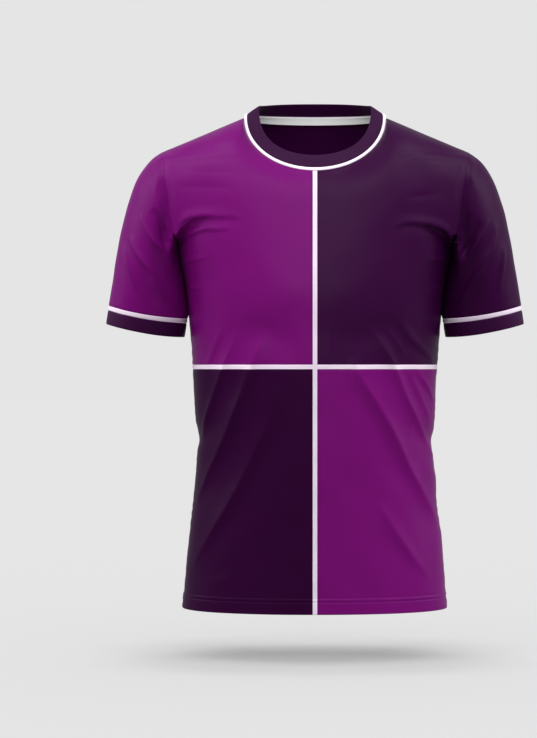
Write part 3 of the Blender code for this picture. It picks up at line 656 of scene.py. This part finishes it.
# Materials. Patterns lie on each piece's own UVs, which are metres along the cloth. pitch is the knit's.
plainKnit = {"pitch": 0.0011, "ribs": False, "roughness": 0.38, "sheen": 0.01, "gloss": 0.085, "bump": 0.12}
foldedRib = {"pitch": 0.0016, "ribs": True, "roughness": 0.50, "sheen": 0.03, "gloss": 0.085, "bump": 0.35}
finishes = {
    "brightCloth": {**plainKnit, "slot": "bright_cloth", "colour": (0.170, 0.0022, 0.153)},
    "darkCloth": {**plainKnit, "slot": "dark_cloth", "colour": (0.0340, 0.0006, 0.0370)},
    # The same cloth as darkCloth, painted darker: painted shade on the wearer's lower front right, where less
    # light falls.
    "deepCloth": {**plainKnit, "slot": "dark_cloth", "colour": (0.0262, 0.0004, 0.0285), "gloss": 0.045},
    "whiteCloth": {**plainKnit, "slot": "white_cloth", "colour": (0.91, 0.77, 0.92),
                   "roughness": 0.70, "sheen": 0.05, "bump": 0.10},
    # The cuffs and the collar rib are one knit; the cuffs' copy is painted lighter, painted light on the
    # cuffs.
    "cuffKnit": {**foldedRib, "slot": "rib_knit", "colour": (0.0350, 0.0009, 0.0390)},
    "ribKnit": {**foldedRib, "slot": "rib_knit", "colour": (0.0270, 0.0008, 0.0300)},
    "tape": {**plainKnit, "slot": "tape", "colour": (0.80, 0.80, 0.80), "pitch": 0.0012,
             "roughness": 0.75, "sheen": 0.05, "bump": 0.30},
}
finishes["sleeveDark"] = {**finishes["darkCloth"], "gloss": 0.055}
finishes["sleeveBright"] = {**finishes["brightCloth"], "gloss": 0.055}

# What all finishes share: the sheen, how the colour wanders in clouds and with the knit, and the fuzz.
look = {
    "sheenRoughness": 0.30, "sheenTint": (1.0, 0.70, 1.0, 1.0), "courses": 0.8, "cloudScale": 9.0,
    "cloudDetail": 3.0, "cloudShare": 0.5, "knitShare": 0.08, "shadeFrom": 0.25, "darker": 0.93,
    "lighter": 1.07, "fuzzScale": 900.0, "fuzzDetail": 2.0, "fuzzShare": 0.8, "bumpHeight": 0.0002,
}


def setInputs(node, values):
    for socket, value in values.items():
        node.inputs[socket].default_value = value


def fabric(name, finish):
    made = bpy.data.materials.new(name)
    made.use_nodes = True
    nodes, links = made.node_tree.nodes, made.node_tree.links
    shader = nodes["Principled BSDF"]
    setInputs(shader, {
        "Roughness": finish["roughness"], "Specular IOR Level": finish["gloss"],
        "Sheen Weight": finish["sheen"], "Sheen Roughness": look["sheenRoughness"],
        "Sheen Tint": look["sheenTint"],
    })
    coordinates = nodes.new("ShaderNodeTexCoord")

    def maths(operation, a, b=0.0):
        node = nodes.new("ShaderNodeMath")
        node.operation = operation
        for socket, value in zip(node.inputs, (a, b)):
            if isinstance(value, (int, float)):
                socket.default_value = value
            else:
                links.new(value, socket)
        return node.outputs[0]

    def noise(scale, detail):
        node = nodes.new("ShaderNodeTexNoise")
        setInputs(node, {"Scale": scale, "Detail": detail})
        links.new(coordinates.outputs["Object"], node.inputs["Vector"])
        return node.outputs["Fac"]

    split = nodes.new("ShaderNodeSeparateXYZ")
    links.new(coordinates.outputs["UV"], split.inputs[0])
    turns = 2 * math.pi / finish["pitch"]
    knit = maths("SINE", maths("MULTIPLY", split.outputs["X"], turns))
    if not finish["ribs"]:
        course = maths("SINE", maths("MULTIPLY", split.outputs["Y"], turns * look["courses"]))
        knit = maths("MULTIPLY", knit, course)

    cloud = noise(look["cloudScale"], look["cloudDetail"])
    fuzz = noise(look["fuzzScale"], look["fuzzDetail"])
    clouded = maths("MULTIPLY", cloud, look["cloudShare"])
    shaded = maths("ADD", clouded, maths("MULTIPLY", knit, look["knitShare"]))
    tint = nodes.new("ShaderNodeMixRGB")
    for socket, factor in ((1, look["darker"]), (2, look["lighter"])):
        tint.inputs[socket].default_value = tuple(part * factor for part in finish["colour"]) + (1.0,)
    links.new(maths("ADD", shaded, look["shadeFrom"]), tint.inputs[0])
    links.new(tint.outputs[0], shader.inputs["Base Color"])

    bump = nodes.new("ShaderNodeBump")
    setInputs(bump, {"Strength": finish["bump"], "Distance": look["bumpHeight"]})
    links.new(maths("ADD", knit, maths("MULTIPLY", fuzz, look["fuzzShare"])), bump.inputs["Height"])
    links.new(bump.outputs[0], shader.inputs["Normal"])
    return made


materials = {name: fabric(name, finish) for name, finish in finishes.items()}
print("materials made:", len(materials))


def dress(piece, finish, node):
    piece.data.materials.clear()
    piece.data.materials.append(materials[finish])
    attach(piece, "root")
    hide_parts(node)


# Front and back. Folds fade at the top edge and the armhole, and beside the sleeve, which presses them flat.
# The seams follow, with how deep they lie. wander and pucker are a height and a length.
panel = {
    "cloud": (241, 321), "wander": (0.0005, 0.11), "topFade": (1.90, 2.0), "armFade": (0.93, 1.0),
    "armStart": (0.97, 1.03), "sleeveZ": (-0.335, -0.315), "besideSleeve": (0.70, 0.84),
    "underSleeve": (0.90, 0.96), "centreSeam": 0.0003, "bottomSeam": 0.0003, "bandSeam": 0.0003,
    "topSeam": 0.0006, "sideSeam": 0.0007, "sideEnds": (0.95, 1.02), "sideEase": 0.7,
    "pucker": (0.0005, 0.017), "puckerShift": 0.006,
}

# The turned-up hem: its two rows of stitching as grooves, the swell below them and the folded edge.
hem = {
    "lowRow": 0.0178, "highRow": 0.0235, "groove": 0.0006, "grooveWidth": 0.0010, "swell": 0.0006,
    "swellEnds": (-0.001, 0.002), "edge": 0.0005, "edgeWidth": 0.0009, "fineHeight": 0.028, "fineRows": 36,
}

print("laying the folds")
acrossSteps, upSteps = panel["cloud"]
cloudColumns, cloudRows = np.meshgrid(np.linspace(-1, 1, acrossSteps), np.linspace(0, 2, upSteps))
bodyClouds = {
    "front": clothFront(cloudColumns, cloudRows).reshape(-1, 3),
    "back": clothBack(cloudColumns, cloudRows).reshape(-1, 3),
}
layFolds(bodyFolds, bodyClouds)


def bodyLift(points, normals, u, v):
    lift = foldLift(points, normals, bodyFolds) + wander(points, *panel["wander"])
    lift *= 1.0 - ease(*panel["topFade"], v)
    lift *= 1.0 - ease(*panel["armFade"], np.abs(u)) * ease(*panel["armStart"], v)
    atSleeve = ease(*panel["sleeveZ"], points[..., 2])
    beside = atSleeve * ease(*panel["besideSleeve"], np.abs(u))
    return pressFlat(lift, beside) * (1.0 - atSleeve * ease(*panel["underSleeve"], np.abs(u)))


def hemLift(height):
    rows = sum(np.exp(-(((height - hem[row]) / hem["grooveWidth"]) ** 2)) for row in ("lowRow", "highRow"))
    swellEnd, flatFrom = (hem["highRow"] + end for end in hem["swellEnds"])
    turned = hem["swell"] * (1.0 - ease(swellEnd, flatFrom, height))
    return turned - hem["groove"] * rows - hem["edge"] * np.exp(-((height / hem["edgeWidth"]) ** 2))


def clothPiece(name, points, uvs, facing, finish, node, closed=False):
    if facing < 0:
        points, uvs = points[:, ::-1], uvs[:, ::-1]
    piece = gridPiece(name, points, uvs, closed)
    thicken(piece, cut["clothThickness"])
    dress(piece, finish, node)
    return piece


def bodyPanel(name, surface, facing, a, b, seams, finish, node, flat, area=None):
    points, normals, across, along = measured(surface, a, b, facing)
    fromRight, toLeft = a[0, 0] < -0.5, a[0, -1] > 0.5
    lift = bodyLift(points, normals, a, b)
    if b.min() < 1e-6:
        lift += hemLift(along)
    atArm = 1.0 - panel["sideEase"] * ease(*panel["sideEnds"], b)
    for end, there in ((0, fromRight), (-1, toLeft)):
        if "side" in seams and there:
            toSide = np.abs(across - across[:, end:][:, :1])
            shifted = along + panel["puckerShift"] * end
            wrinkled = puckers(toSide, shifted, *panel["pucker"])
            lift += (seamDip(toSide, panel["sideSeam"]) + wrinkled) * atArm
    toCentre = across[:, -1:] - across if fromRight else across
    toTop = along[-1:] - along
    for edge, distance in (("centre", toCentre), ("bottom", along), ("band", toTop), ("top", toTop)):
        if edge in seams:
            lift += seamDip(distance, panel[edge + "Seam"])
    uvs = np.stack([across - across[:, -1:] if fromRight else across, along], axis=-1)
    piece = clothPiece(name, points + normals * lift[..., None], uvs, facing, finish, node)


# The front's grid: how far apart its columns and rows stand, and the lines across a white band. The columns
# move over for the upright band, by half its width at the centre and by nothing where bandEase ends.
front = {
    "columnStep": 0.0020, "lowerStep": 0.0022, "upperStep": 0.0021, "chestStep": 0.0019,
    "chestLength": 0.19, "bandLines": 7, "bandEase": (0.0, 0.15),
}


# How far the cloth runs across for each unit of u, beside the centre.
def widthPerU(levels, step=0.01):
    return np.abs(bodyFront(step, levels)[..., 0]) / step


def frontGrid(levels, columns, side):
    fading = 1.0 - ease(*front["bandEase"], columns)
    shift = (cut["bandWidth"] / 2 / widthPerU(levels))[:, None] * fading[None, :]
    a = columns[None, :] + shift
    b = np.repeat(levels[:, None], a.shape[1], axis=1)
    return (a, b) if side > 0 else (-a[:, ::-1], b)


columns = halfColumns(front["columnStep"])
chestRows = 1.0 + graded(front["chestLength"], front["chestStep"], False, True)
hemTop = cut["hemZ"] + hem["fineHeight"]
hemRows = level(np.linspace(cut["hemZ"], hemTop, hem["fineRows"]))
bandLow, bandHigh = cut["bandZ"] - cut["bandWidth"] / 2, cut["bandZ"] + cut["bandWidth"] / 2
lowerRows = rowsBetween(hemTop, bandLow, front["lowerStep"], False, True)
lowerRows = np.concatenate([hemRows, lowerRows[1:]])
upperRows = rowsBetween(bandHigh, cut["chestZ"], front["upperStep"], True, False)
upperRows = np.concatenate([upperRows, chestRows[1:]])
bandRows = level(np.linspace(bandLow, bandHigh, front["bandLines"]))

for side, word in ((1, "Left"), (-1, "Right")):
    # The wearer's lower front right takes the dark cloth with painted shade.
    upper, lower = ("darkCloth", "brightCloth") if side > 0 else ("brightCloth", "deepCloth")
    node = word.lower()
    bodyPanel("frontUpper" + word, clothFront, 1.0, *frontGrid(upperRows, columns, side),
              ("side", "centre", "bottom", "top"), upper, "front_upper_" + node, (0.27, 0.37))
    bodyPanel("frontLower" + word, clothFront, 1.0, *frontGrid(lowerRows, columns, side),
              ("side", "centre", "band"), lower, "front_lower_" + node, (0.26, 0.37))
    bodyPanel("frontBandLevel" + word, clothFront, 1.0, *frontGrid(bandRows, columns, side),
              ("side",), "whiteCloth", "front_band_level_" + node, (0.25, 0.010), 0.0017)
    print("front", node, "made")

bandLevels = np.concatenate([lowerRows, bandRows[1:-1], upperRows])
bandHalf = (cut["bandWidth"] / 2) / widthPerU(bandLevels)
bandAcross = bandHalf[:, None] * np.linspace(-1, 1, front["bandLines"])[None, :]
bandUp = np.repeat(bandLevels[:, None], front["bandLines"], axis=1)
bodyPanel("frontBandUpright", clothFront, 1.0, bandAcross, bandUp,
          ("top",), "whiteCloth", "front_band_upright", (0.010, 0.66), 0.0045)

backCloth = {"step": 0.0034, "chestLength": 0.20}
backColumns = halfColumns(backCloth["step"])
backColumns = np.concatenate([-backColumns[:0:-1], backColumns])
backRows = np.concatenate([
    hemRows,
    rowsBetween(hemTop, cut["chestZ"], backCloth["step"], False, False)[1:],
    1.0 + graded(backCloth["chestLength"], backCloth["step"], False, True)[1:],
])
bodyPanel("back", clothBack, -1.0, *np.meshgrid(backColumns, backRows),
          ("side", "top"), "darkCloth", "back", (0.52, 0.76))
print("back made")

# Sleeves. Folds fade at the armhole and the stripe, as a share of the length, and beside the body, as a turn
# from the underarm.
arm = {
    "columns": 201, "rowStep": 0.0020, "length": 0.19, "cloud": (81, 121), "wander": (0.0004, 0.09),
    "topFade": (0.02, 0.16), "endFade": (0.86, 1.0), "besideBody": (0.14, 0.34), "underArm": (0.05, 0.12),
    "capSeam": 0.0002, "stripeSeam": 0.0004, "pucker": (0.0002, 0.015),
}


def sleevePiece(surface, facing, word, folds, finish):
    shares = graded(arm["length"], arm["rowStep"], True, True)
    a, b = np.meshgrid(np.linspace(0.0, 2.0, arm["columns"]), shares)
    aroundSteps, downSteps = arm["cloud"]
    clouds = {}
    for sheet, start in (("front", 0), ("back", 1)):
        halfway = np.meshgrid(np.linspace(start, start + 1, aroundSteps), np.linspace(0, 1, downSteps))
        clouds[sheet] = surface(*halfway).reshape(-1, 3)
    layFolds(folds, clouds)
    points, normals, across, along = measured(surface, a, b, facing)
    lift = foldLift(points, normals, folds) + wander(points, *arm["wander"])
    lift *= ease(*arm["topFade"], b) * (1.0 - ease(*arm["endFade"], b))
    turn = np.minimum(a, 2.0 - a)
    beside = 1.0 - ease(*arm["besideBody"], turn)
    lift = pressFlat(lift, beside) * ease(*arm["underArm"], turn)
    wrinkled = puckers(along, across, *arm["pucker"])
    capDip = seamDip(along, arm["capSeam"])
    stripeDip = seamDip(along[-1:] - along, arm["stripeSeam"])
    lift += capDip + wrinkled + stripeDip
    points = points + normals * lift[..., None]
    uvs = np.stack([across, along], axis=-1)
    piece = clothPiece("sleeve" + word, points, uvs, facing, finish, "sleeve_" + word.lower(), closed=True)


sleevePiece(leftSleeve, -1.0, "Left", leftSleeveFolds, "sleeveDark")
sleevePiece(rightSleeve, 1.0, "Right", rightSleeveFolds, "sleeveBright")
print("sleeves made")

# How square the section of a band is, along it and through it. A power of 1 would be an ellipse.
ringShape = {"along": 0.45, "through": 0.6}


# A band of doubled or rolled cloth: a ring primitive whose section is drawn along its own surface.
def ringPiece(name, surface, low, band, span, finish, node, mirror=1.0):
    majors, minors = band["around"], band["section"]
    high, thickness = low + band["width"], band["thickness"]
    bpy.ops.mesh.primitive_torus_add(major_segments=majors, minor_segments=minors)
    piece = justAdded(name)
    piece.data.name = name
    a = span * np.repeat(np.arange(majors), minors) / majors
    around = 2 * math.pi * np.tile(np.arange(minors), majors) / minors
    reach, out = np.cos(around), np.sin(around)
    reach = np.sign(reach) * np.abs(reach) ** ringShape["along"]
    out = np.sign(out) * np.abs(out) ** ringShape["through"]
    rise = (low + high) / 2 + (high - low) / 2 * reach
    base = surface(a, rise)
    normals = normalsOf(surface, a, rise, 1.0)
    depth = thickness / 2 * (out - 1.0) + np.where(out > 0, band.get("dome", 0.0) * out, 0.0)
    points = base + normals * depth[:, None]
    points[:, 0] *= mirror
    corners = place(piece.data, points)

    # the faces that close the ring need its whole length as their last u
    length = arcs(surface(span * np.arange(majors + 1) / majors, np.full(majors + 1, rise.mean())), 0)
    turns = (corners // minors).reshape(-1, 4)
    closing = (turns.max(axis=1) == majors - 1) & (turns.min(axis=1) == 0)
    u = length[turns]
    u[closing] = np.where(turns[closing] == 0, length[-1], u[closing])
    mapCorners(piece.data, np.stack([u, rise[corners].reshape(-1, 4)], axis=-1))
    bpy.ops.object.mode_set(mode="EDIT")
    bpy.ops.mesh.select_all(action="SELECT")
    bpy.ops.mesh.normals_make_consistent(inside=False)
    bpy.ops.object.mode_set(mode="OBJECT")
    bpy.ops.object.shade_smooth()
    dress(piece, finish, node)


stripeFoot = cuff["width"] + cut["seamGap"]
for mirror, word in ((1.0, "Left"), (-1.0, "Right")):
    node = word.lower()
    # The cuffs take the rib knit painted lighter, painted light.
    ringPiece("cuff" + word, sleeveEnd, 0.0, cuff, 2.0, "cuffKnit", "cuff_" + node, mirror)
    ringPiece("sleeveStripe" + word, sleeveEnd, stripeFoot, stripe, 2.0, "whiteCloth",
              "sleeve_stripe_" + node, mirror)

ribFoot = piping["width"] + cut["seamGap"]
ringPiece("collarPiping", collar, 0.0, piping, 2 * math.pi, "whiteCloth", "collar_piping")
ringPiece("collarRib", collar, ribFoot, rib, 2 * math.pi, "ribKnit", "collar_rib")
print("rib, piping and cuffs made")

# Tape over the back neck seam. Its rows run from the panel up on to the rib, and it is domed in the middle.
tape = {
    "rows": (-0.0078, 0.0048), "halfAngle": math.radians(66.0), "thickness": 0.0009, "clear": 0.0030,
    "dome": 0.0003, "columns": 91, "lines": 13, "panelV": 1.97,
}


def behindNeck(angle, rise, step=0.01):
    onRib = collar(angle, np.maximum(rise, 0.0))
    ribNormals = normalsOf(collar, angle, np.maximum(rise, 0.0), 1.0)
    u = (math.pi - angle) / (math.pi / 2) * neck["share"]
    panelNormals = normalsOf(bodyBack, u, np.full_like(u, tape["panelV"]), -1.0)
    down = unit(np.cross(unit(neckline(angle + step) - neckline(angle - step)), panelNormals))
    onPanel = neckline(angle) + down * np.maximum(-rise, 0.0)[..., None]
    above = (rise >= 0)[..., None]
    return np.where(above, onRib, onPanel), np.where(above, ribNormals, panelNormals)


tapeAngles = math.pi + np.linspace(-1, 1, tape["columns"]) * tape["halfAngle"]
a, b = np.meshgrid(tapeAngles, np.linspace(*tape["rows"], tape["lines"]))
points, normals = behindNeck(a, b)
middle = np.cos((b - b.mean()) / (b.max() - b.min()) * math.pi)[..., None]
points = points - normals * (tape["clear"] - tape["dome"] * middle)
tapePiece = gridPiece("neckTape", points, np.stack([arcs(points, 1), arcs(points, 0)], axis=-1))
thicken(tapePiece, tape["thickness"])
dress(tapePiece, "tape", "neck_tape")
print("tape made")

# Camera: level, square on to the front
camera = {"distance": 3.55, "z": -0.372, "sensor": 36.0, "lens": 115.4, "shiftX": -0.063, "shiftY": -0.0014}
bpy.ops.object.camera_add(location=(0.0, -camera["distance"], camera["z"]), rotation=(math.pi / 2, 0.0, 0.0))
lens = justAdded("Camera")
lens.data.sensor_width = camera["sensor"]
lens.data.lens = camera["lens"]
lens.data.shift_x = camera["shiftX"]
lens.data.shift_y = camera["shiftY"]
bpy.context.scene.camera = lens

# The studio: a pale floor that only the camera sees, a grey backdrop, and a soft light from all round.
studio = {"floorZ": -0.80, "floorSize": 60.0, "floorColour": 0.60, "grey": 0.783, "sky": 0.41}
bpy.ops.mesh.primitive_plane_add(size=studio["floorSize"], location=(0.0, 0.0, studio["floorZ"]))
floor = justAdded("floor")
floor.visible_diffuse = False
floor.visible_glossy = False
paper = bpy.data.materials.new("paper")
paper.use_nodes = True
setInputs(paper.node_tree.nodes["Principled BSDF"], {
    "Base Color": (studio["floorColour"],) * 3 + (1.0,), "Roughness": 1.0, "Specular IOR Level": 0.0,
})
floor.data.materials.append(paper)

world = bpy.data.worlds.new("studio")
bpy.context.scene.world = world
world.use_nodes = True
nodes, links = world.node_tree.nodes, world.node_tree.links
backdrop = nodes["Background"]
setInputs(backdrop, {"Color": (studio["grey"],) * 3 + (1.0,), "Strength": 1.0})
softLight = nodes.new("ShaderNodeBackground")
setInputs(softLight, {"Color": (1.0, 1.0, 1.0, 1.0), "Strength": studio["sky"]})
seen = nodes.new("ShaderNodeLightPath")
either = nodes.new("ShaderNodeMixShader")
links.new(seen.outputs["Is Camera Ray"], either.inputs[0])
links.new(softLight.outputs[0], either.inputs[1])
links.new(backdrop.outputs[0], either.inputs[2])
links.new(either.outputs[0], nodes["World Output"].inputs["Surface"])

# Lights. A sun is its elevation, azimuth, strength and spread. Those of the trunk and the arms stand on both
# sides. A sleeve has only those of its own side, and the far half of the front has a small share of them, so
# that its folds stay dark towards the middle. Only the upper front and the collar shade the floor, which
# makes a soft shadow.
lights = {
    "trunkSuns": ((35.0, 45.0, 0.36, 35.0), (60.0, 60.0, 1.05, 35.0), (25.0, 95.0, 0.80, 35.0)),
    "armSuns": ((60.0, 60.0, 1.75, 35.0), (25.0, 95.0, 0.95, 35.0),
                (60.0, -30.0, 0.70, 35.0), (40.0, 30.0, 0.30, 35.0)),
    "farShare": 0.35,
    "tapeSun": (20.0, 0.0, 1.65, 40.0),
    "backSun": (30.0, 180.0, 1.2, 40.0),
    "floorSuns": ((84.0, 0.0, 1.43, 19.0), (84.0, 180.0, 1.43, 19.0)),
}

# Two lamps before the shirt, level with and above the chest, tipped down at it. Their power is in watts.
lamps = {
    "chestSpot": {"kind": "SPOT", "y": -2.6, "z": 0.05, "tip": 4.4, "power": 81.0},
    "frontBox": {"kind": "AREA", "y": -1.5, "z": 0.90, "tip": 38.6, "power": 10.0},
    "spotAngle": 11.0, "spotBlend": 1.0, "spotSoftness": 0.25, "boxSize": 0.9,
}


def softSun(name, sun, receivers, blockers=None, way=1.0, share=1.0):
    elevation, azimuth, strength, spread = sun
    turned = (math.pi / 2 - math.radians(elevation), 0.0, math.radians(way * azimuth))
    bpy.ops.object.light_add(type="SUN", rotation=turned)
    made = justAdded(name)
    made.data.energy = share * strength
    made.data.angle = math.radians(spread)
    made.light_linking.receiver_collection = receivers
    made.light_linking.blocker_collection = blockers


def chestLamp(name):
    lamp = lamps[name]
    turned = (math.pi / 2 - math.radians(lamp["tip"]), 0.0, 0.0)
    bpy.ops.object.light_add(type=lamp["kind"], location=(0.0, lamp["y"], lamp["z"]), rotation=turned)
    made = justAdded(name)
    made.data.energy = lamp["power"]
    made.light_linking.receiver_collection = trunkLit
    return made.data


def group(name, pieces):
    made = bpy.data.collections.new(name)
    for piece in pieces:
        made.objects.link(piece)
    return made


shirt = [piece for piece in bpy.context.scene.objects if piece.type == "MESH" and piece is not floor]
trunk = [piece for piece in shirt if not piece.name.startswith(("sleeve", "cuff"))]
arms = [piece for piece in shirt if piece not in trunk]
trunkLit = group("trunkLit", trunk)
for word, other, way in (("right", "left", -1.0), ("left", "right", 1.0)):
    armLit = group(word + "ArmLit", [piece for piece in arms if word in piece.name.lower()])
    farLit = group(word + "FarLit", [piece for piece in trunk if other in piece.name.lower()])
    nearLit = group(word + "NearLit", [piece for piece in trunk if other not in piece.name.lower()])
    for sun in lights["trunkSuns"]:
        softSun(word + "NearSun", sun, nearLit, trunkLit, way)
        softSun(word + "FarSun", sun, farLit, trunkLit, way, lights["farShare"])
    for sun in lights["armSuns"]:
        softSun(word + "ArmSun", sun, armLit, trunkLit, way)

chestSpot = chestLamp("chestSpot")
chestSpot.spot_size = math.radians(lamps["spotAngle"])
chestSpot.spot_blend = lamps["spotBlend"]
chestSpot.shadow_soft_size = lamps["spotSoftness"]
chestLamp("frontBox").size = lamps["boxSize"]

softSun("tapeLight", lights["tapeSun"], group("tapeLit", [tapePiece]))
softSun("backLight", lights["backSun"], group("backLit", [p for p in shirt if p.name.startswith("back")]))
floorLit = group("floorLit", [floor])
shade = group("shade", [piece for piece in trunk if piece.name.startswith(("frontUpper", "collar"))])
for sun in lights["floorSuns"]:
    softSun("floorLight", sun, floorLit, shade)
bpy.context.scene.view_settings.view_transform = "Standard"
print("camera, floor and lights set")
